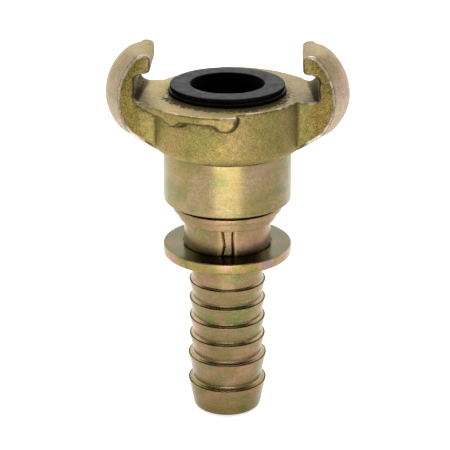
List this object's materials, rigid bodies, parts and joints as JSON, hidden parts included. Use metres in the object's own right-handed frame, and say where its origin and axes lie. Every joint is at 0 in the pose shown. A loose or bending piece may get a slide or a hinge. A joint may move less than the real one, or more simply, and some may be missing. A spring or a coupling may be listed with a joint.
{
  "type": "claw hose coupling",
  "caption": "Twist-claw air hose coupling half: cast head with opposed claws and a face seal that swivels on a barbed hose tail with a safety collar.",
  "frame": {"origin": "centre of the hose tail's bottom end", "axes": "+Z along the air passage towards the claws; the claws stand along +X and -X; Y across the claws' width"},
  "size_m": [0.0688, 0.051, 0.1102],
  "materials": {
    "cast_chromate": "rough cast, zinc plated and yellow chromated",
    "turned_chromate": "turned, zinc plated and yellow chromated, slightly iridescent",
    "seal_rubber": "moulded black rubber, matte",
    "washer_bronze": "turned bronze",
    "spring_steel": "phosphated spring steel, dark grey",
    "backup_plastic": "white low-friction plastic"
  },
  "bodies": {
    "tail_body": {"hose_tail": "turned_chromate", "split_sleeve": "turned_chromate", "snap_ring": "spring_steel", "lower_o_ring": "seal_rubber", "lower_backup_ring": "backup_plastic", "upper_o_ring": "seal_rubber", "upper_backup_ring": "backup_plastic"},
    "head_body": {"claw_head": "cast_chromate", "face_seal": "seal_rubber", "retaining_bush": "turned_chromate", "wiper_ring": "seal_rubber", "lower_thrust_washer": "washer_bronze", "upper_thrust_washer": "washer_bronze"}
  },
  "joints": [
    {"name": "head_swivel", "type": "hinge", "parent": "tail_body", "child": "head_body", "pos_m": [0, 0, 0.0815], "axis": [0, 0, 1], "continuous": true}
  ]
}
